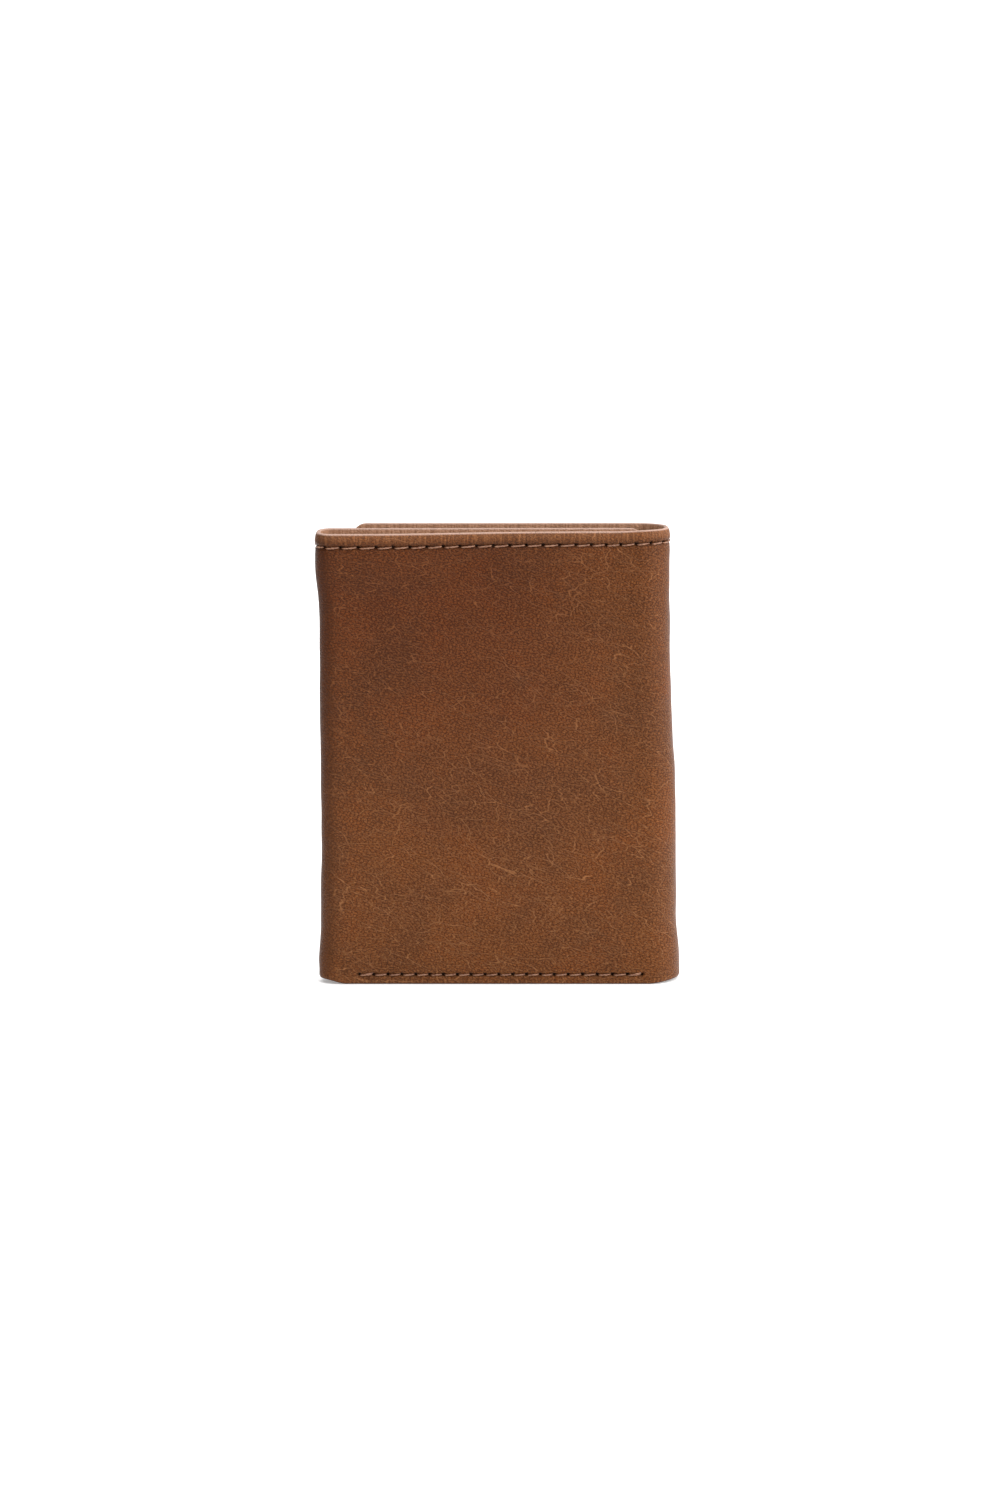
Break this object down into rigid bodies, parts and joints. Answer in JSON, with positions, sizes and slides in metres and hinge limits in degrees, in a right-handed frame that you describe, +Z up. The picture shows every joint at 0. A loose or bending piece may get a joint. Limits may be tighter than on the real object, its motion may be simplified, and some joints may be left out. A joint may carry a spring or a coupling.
{
  "type": "trifold wallet",
  "caption": "Slim tan leather trifold wallet, closed: two stitched flaps fold behind a front panel, with card pockets, an identity window and a full-width banknote compartment.",
  "frame": {"origin": "centre of the closed wallet's footprint, on the surface it stands on", "axes": "+Z up along the folds, -Y out of the front panel, +X towards the fold that carries the outer flap"},
  "size_m": [0.084, 0.017, 0.108],
  "materials": {
    "cover_leather": "tan-brown pull-up leather, waxed, satin, with darker mottling and fine creases",
    "inner_leather": "tan-brown smooth leather, satin",
    "lining_fabric": "dark brown fine twill",
    "stiffener_board": "bonded leather board, matte",
    "thread": "waxed brown thread",
    "clear_film": "clear flexible film, glossy"
  },
  "bodies": {
    "front_panel": {"cover_front": "cover_leather", "stiffener_front": "stiffener_board", "lining_front": "lining_fabric", "bill_wall_front": "inner_leather", "front_card_pocket_rear": "inner_leather", "front_card_pocket_centre": "inner_leather", "front_card_pocket_fore": "inner_leather", "front_top_stitching": "thread", "front_bottom_stitching": "thread", "front_pocket_stitching": "thread"},
    "left_fold": {"cover_left_fold": "cover_leather", "lining_left_fold": "lining_fabric", "bill_wall_left_fold": "inner_leather", "left_fold_top_stitching": "thread"},
    "inner_flap": {"cover_inner_flap": "cover_leather", "stiffener_inner_flap": "stiffener_board", "lining_inner_flap": "lining_fabric", "bill_wall_inner_flap": "inner_leather", "inner_card_pocket_rear": "inner_leather", "inner_card_pocket_centre": "inner_leather", "inner_card_pocket_fore": "inner_leather", "inner_top_stitching": "thread", "inner_bottom_stitching": "thread", "inner_end_stitching": "thread", "inner_pocket_stitching": "thread"},
    "right_fold": {"cover_right_fold": "cover_leather", "lining_right_fold": "lining_fabric", "bill_wall_right_fold": "inner_leather", "right_fold_top_stitching": "thread"},
    "outer_flap": {"cover_outer_flap": "cover_leather", "stiffener_outer_flap": "stiffener_board", "lining_outer_flap": "lining_fabric", "bill_wall_outer_flap": "inner_leather", "slip_pocket": "inner_leather", "id_window_pane": "clear_film", "id_window_frame": "inner_leather", "outer_top_stitching": "thread", "outer_bottom_stitching": "thread", "outer_end_stitching": "thread", "id_window_stitching": "thread"}
  },
  "joints": [
    {"name": "right_fold_front_hinge", "type": "hinge", "parent": "front_panel", "child": "right_fold", "pos_m": [0.04043, -0.00743, 0.054], "axis": [0, 0, -1], "range_deg": [0, 90]},
    {"name": "right_fold_back_hinge", "type": "hinge", "parent": "right_fold", "child": "outer_flap", "pos_m": [0.04043, 0.00743, 0.054], "axis": [0, 0, -1], "range_deg": [0, 90]},
    {"name": "left_fold_front_hinge", "type": "hinge", "parent": "front_panel", "child": "left_fold", "pos_m": [-0.04083, -0.00783, 0.054], "axis": [0, 0, 1], "range_deg": [0, 90]},
    {"name": "left_fold_back_hinge", "type": "hinge", "parent": "left_fold", "child": "inner_flap", "pos_m": [-0.04083, -0.00097, 0.054], "axis": [0, 0, 1], "range_deg": [0, 90]}
  ],
  "couplings": [
    {"joint": "right_fold_back_hinge", "follows": "right_fold_front_hinge", "ratio": 1},
    {"joint": "left_fold_front_hinge", "follows": "right_fold_front_hinge", "ratio": 0.2},
    {"joint": "left_fold_back_hinge", "follows": "right_fold_front_hinge", "ratio": 0.2}
  ]
}
